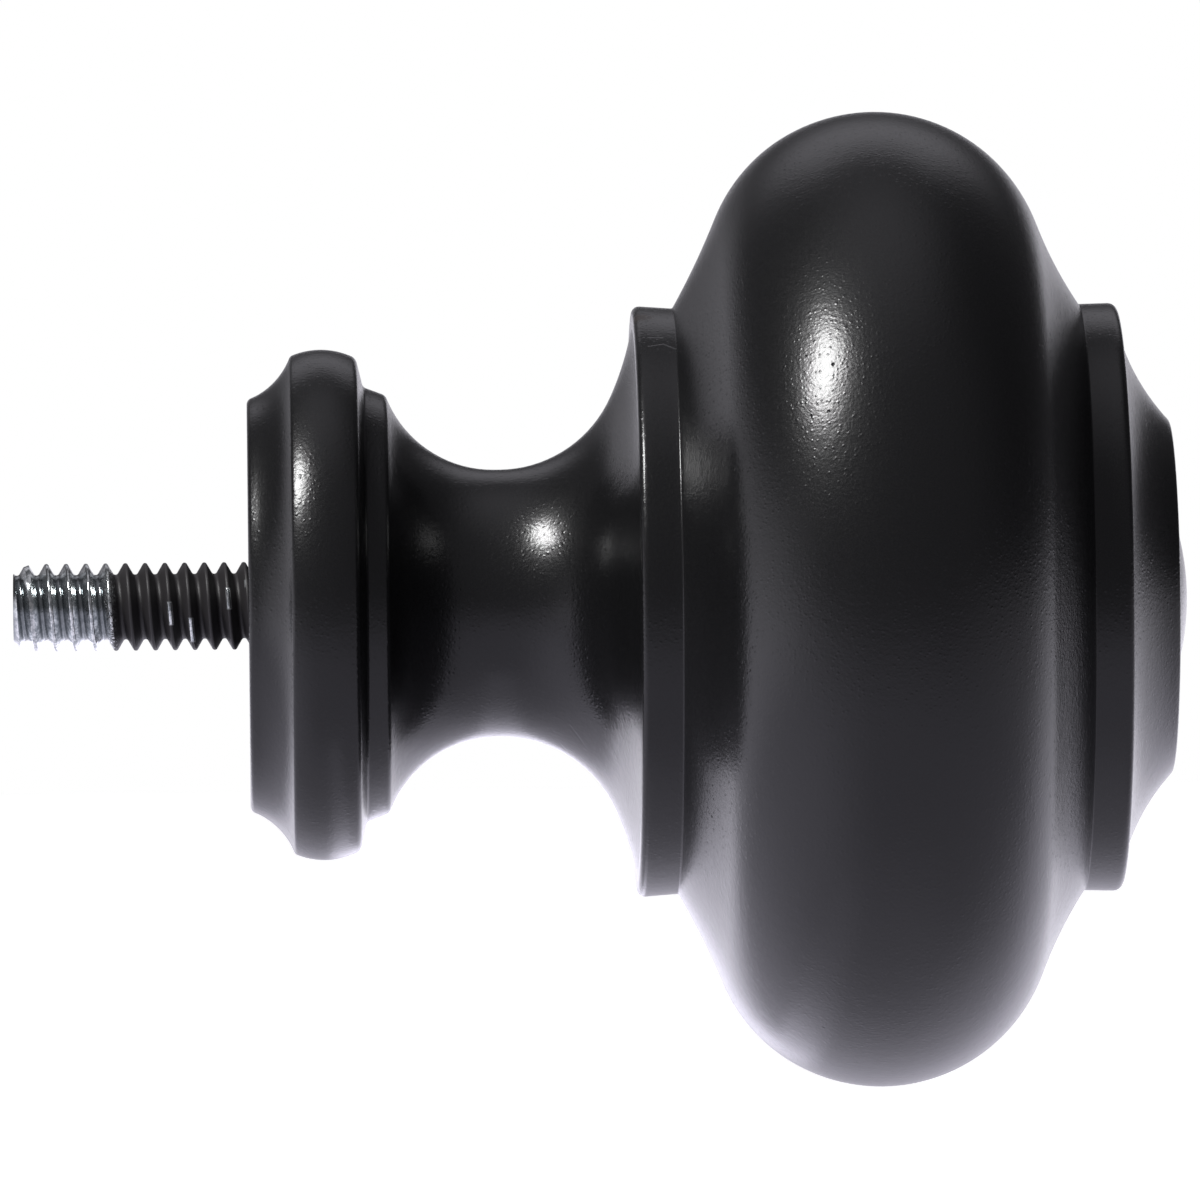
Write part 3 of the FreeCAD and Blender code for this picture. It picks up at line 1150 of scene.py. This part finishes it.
@dataclass(frozen=True)
class BounceCard:
    """Small bright card beside the object, which only the object's reflections show."""

    name: str
    centre: Triple
    width: float  # along the object's axis
    length: float
    tilt: float  # 0 lies flat, a quarter turn stands up
    near_level: float  # brightness at its edge towards the camera
    far_level: float
    even_end: float = 0.15  # share of its length at each end that keeps its level
    bright_core: float = 0.4  # share of its width that is fully bright

    def build(self) -> None:
        """Sets the card up as a part of the stage."""
        deselect_everything()
        bpy.ops.mesh.primitive_plane_add(size=1.0, location=self.centre,
                                         rotation=(self.tilt, 0.0, 0.0))
        card = bpy.context.active_object
        card.name = self.name
        card.scale = (self.width, self.length, 1.0)
        bpy.ops.object.transform_apply(location=False, rotation=False, scale=True)
        material, graph, shader = new_material(self.name)
        graph.tree.nodes.remove(shader)
        x, y, _ = graph.add("SeparateXYZ", {0: graph.add("TexCoord").outputs["Object"]}).outputs
        reach = (0.5 - self.even_end) * self.length
        level = graph.fade(y, -reach, reach, self.near_level, self.far_level)
        half = self.width / 2.0
        soft = graph.fade(graph.math("ABSOLUTE", x), half, self.bright_core * half)
        clear = graph.add("BsdfTransparent")
        glow = graph.add("Emission", {"Color": LOW_TINT, "Strength": level})
        surface = graph.add("MixShader", {0: soft, 1: clear.outputs[0], 2: glow.outputs[0]})
        graph.feed(graph.tree.nodes["Material Output"].inputs["Surface"], surface.outputs[0])
        card.data.materials.append(material)
        card.visible_camera = False
        card.visible_diffuse = False
        card.visible_shadow = False


@dataclass
class Studio:
    """White studio: a floor, soft panels all round and one key light from the left front."""

    floor_z: float = -60.0 * MM
    floor_side: float = 8.0
    floor_glow: float = 0.86  # to the camera alone, so that the floor reads white
    floor_grey: Colour = (0.80, 0.80, 0.80, 1.0)
    floor_roughness: float = 0.9
    dim: float = 0.06  # level of the studio where no panel is
    tint_turn: tuple[float, float] = (10.0, -25.0)  # elevations where the low tint sets in
    panels: tuple[SoftPanel, ...] = (
        SoftPanel(10.0, 35.0, 60.0, -10.0, 20.0, 58.0, 20.0, 0.11),         # front wall
        SoftPanel(0.0, 180.0, 1.0, 85.0, 35.0, 95.0, 1.0, 0.38),            # ceiling
        SoftPanel(180.0, 16.0, 22.0, 36.0, 18.0, 46.0, 8.0, 0.50),          # high strip behind
        SoftPanel(168.0, 12.0, 12.0, -2.0, 12.0, 6.0, 7.0, 0.95),           # backdrop
        SoftPanel(-108.0, 20.0, 50.0, -5.0, 16.0, 4.0, 20.0, 0.84),         # left wall
        SoftPanel(122.0, 22.0, 72.0, -10.0, 15.0, 0.0, 4.0, 0.35),          # right wall
        SoftPanel(0.0, 180.0, 1.0, -95.0, 1.0, -31.0, 33.0, 0.56),          # floor
        SoftPanel(0.0, 180.0, 1.0, -95.0, 1.0, -82.0, 32.0, 0.18),          # floor right below
        SoftPanel(-140.0, 70.0, 60.0, -42.0, 40.0, -3.0, 5.0, 0.41),        # floor at the far left
        SoftPanel(-155.0, 8.0, 18.0, -10.0, 16.0, -2.0, 8.0, 1.10),         # glow at the far left
        SoftPanel(142.0, 14.0, 26.0, -18.0, 16.0, -2.0, 4.0, 0.38),         # glow at the far right
    )
    cards: tuple[BounceCard, ...] = (
        BounceCard("card_below", (14.5 * MM, 20.0 * MM, -52.0 * MM), 17.0 * MM, 100.0 * MM,
                   0.0, 0.98, 2.0),
        BounceCard("card_behind", (14.0 * MM, 70.0 * MM, -22.0 * MM), 19.0 * MM, 60.0 * MM,
                   math.pi / 2.0, 2.5, 2.5),
    )
    key_azimuth: float = -54.5
    key_elevation: float = 47.8
    key_distance: float = 0.42
    key_width: float = 0.108
    key_height: float = 0.130
    key_radiance: float = 40.0
    aim: Vector = field(default_factory=lambda: Vector((20.0 * MM, 0.0, 5.0 * MM)))

    def build(self) -> None:
        """Sets up the whole studio."""
        self.build_world()
        self.build_floor()
        self.build_key()
        for card in self.cards:
            card.build()

    def build_world(self) -> None:
        """Makes the surroundings: white to the camera, soft panels to everything else."""
        world = bpy.data.worlds.new("studio")
        world.use_nodes = True
        bpy.context.scene.world = world
        graph = Graph(world.node_tree)
        background = world.node_tree.nodes["Background"]
        x, y, z = graph.add("SeparateXYZ", {0: graph.add("TexCoord").outputs["Generated"]}).outputs
        azimuth = graph.math("DEGREES", graph.math("ARCTAN2", x, graph.math("MULTIPLY", y, -1.0)))
        elevation = graph.math("DEGREES", graph.math("ARCSINE", z))
        light = self.dim
        for panel in self.panels:
            light = graph.math("ADD", panel.light(graph, azimuth, elevation), light)
        cool = graph.fade(elevation, *self.tint_turn)
        shade = graph.tint(cool, HIGH_TINT, LOW_TINT)
        lit = graph.add("VectorMath", {0: shade, "Scale": light}, operation="SCALE").outputs[0]
        to_camera = graph.add("LightPath").outputs["Is Camera Ray"]
        graph.feed(background.inputs["Color"], graph.tint(to_camera, lit, WHITE))

    def build_floor(self) -> None:
        """Lays the white floor that keeps the object's shadow."""
        deselect_everything()
        bpy.ops.mesh.primitive_plane_add(size=self.floor_side, location=(0.0, 0.0, self.floor_z))
        floor = bpy.context.active_object
        floor.name = "studio_floor"
        material, graph, shader = new_material("white_floor")
        shader.inputs["Base Color"].default_value = self.floor_grey
        shader.inputs["Roughness"].default_value = self.floor_roughness
        shader.inputs["Emission Color"].default_value = WHITE
        to_camera = graph.add("LightPath").outputs["Is Camera Ray"]
        graph.feed(shader.inputs["Emission Strength"], graph.math("MULTIPLY", to_camera, self.floor_glow))
        floor.data.materials.append(material)
        floor.visible_glossy = False
        floor.visible_diffuse = False

    def build_key(self) -> None:
        """Hangs the key light and turns it to the object."""
        azimuth, elevation = math.radians(self.key_azimuth), math.radians(self.key_elevation)
        way = Vector((math.sin(azimuth) * math.cos(elevation), -math.cos(azimuth) * math.cos(elevation),
                      math.sin(elevation)))
        bpy.ops.object.light_add(type="AREA", location=self.aim + way * self.key_distance)
        lamp = bpy.context.active_object
        lamp.name = "key_light"
        lamp.rotation_euler = (-way).to_track_quat("-Z", "Y").to_euler()
        lamp.data.shape = "RECTANGLE"
        lamp.data.size = self.key_width
        lamp.data.size_y = self.key_height
        lamp.data.energy = self.key_radiance * math.pi * self.key_width * self.key_height
        lamp.visible_camera = False


@dataclass(frozen=True)
class PhotoCamera:
    """Camera of the photo, worked out from its perspective. Pixel values are of the 1200 pixel frame."""

    photo_side: float = 1200.0
    focal: float = 15100.0  # focal length in pixels
    scale: float = 0.05367 * MM  # size of a pixel at the object's axis
    seat_pixel: float = 248.5  # column of the seat's face
    foot_pixel: float = 250.0  # column that the camera stands square to
    axis_pixel: float = 605.7  # row of the axis at the seat
    roll: float = math.radians(0.59)  # the axis rises to the right by this
    sensor: float = 36.0
    nearest: float = 0.01
    farthest: float = 20.0

    def build(self) -> None:
        """Places the camera and makes it the scene's own."""
        middle = self.photo_side / 2.0
        foot_x = (self.foot_pixel - self.seat_pixel) * self.scale
        look_x = (middle - self.seat_pixel) * self.scale
        axis_row = self.axis_pixel - (middle - self.seat_pixel) * math.tan(self.roll)
        look_z = (axis_row - middle) * self.scale
        distance = self.focal * self.scale
        turn = math.atan2(look_x - foot_x, distance)
        bpy.ops.object.camera_add(location=(foot_x, -distance, look_z),
                                  rotation=(math.pi / 2.0, self.roll, -turn))
        camera = bpy.context.active_object
        camera.name = "photo_camera"
        camera.data.sensor_width = self.sensor
        camera.data.lens = self.focal * self.sensor / self.photo_side
        camera.data.clip_start = self.nearest
        camera.data.clip_end = self.farthest
        bpy.context.scene.camera = camera


def main() -> None:
    """Builds the studio, the camera and both pieces, and reports each."""
    logging.basicConfig(level=logging.INFO, format="%(name)s: %(message)s")
    bpy.context.scene.view_settings.view_transform = "Standard"
    Studio().build()
    PhotoCamera().build()
    build_groups()
    body_low, body_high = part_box(BODY_NODE)
    stud_low, stud_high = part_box(STUD_NODE)
    paint = SatinBlackPaint()
    body = FinialBody(StudHole(stud_in=stud_high.x), Head(radius=body_high.z), paint)
    stud = ThreadedStud(stud_low.x, stud_high.x, stud_high.z, ZincPlate())
    for part in (body, stud):
        piece = part.build()
        part.dress(piece)
        triangles = sum(len(face.vertices) - 2 for face in piece.data.polygons)
        low, high = Vector(piece.bound_box[0]), Vector(piece.bound_box[6])
        log.info("%s: %d triangles, from %s to %s mm", piece.name, triangles,
                 [round(c / MM, 2) for c in low], [round(c / MM, 2) for c in high])


if __name__ == "__main__":
    main()
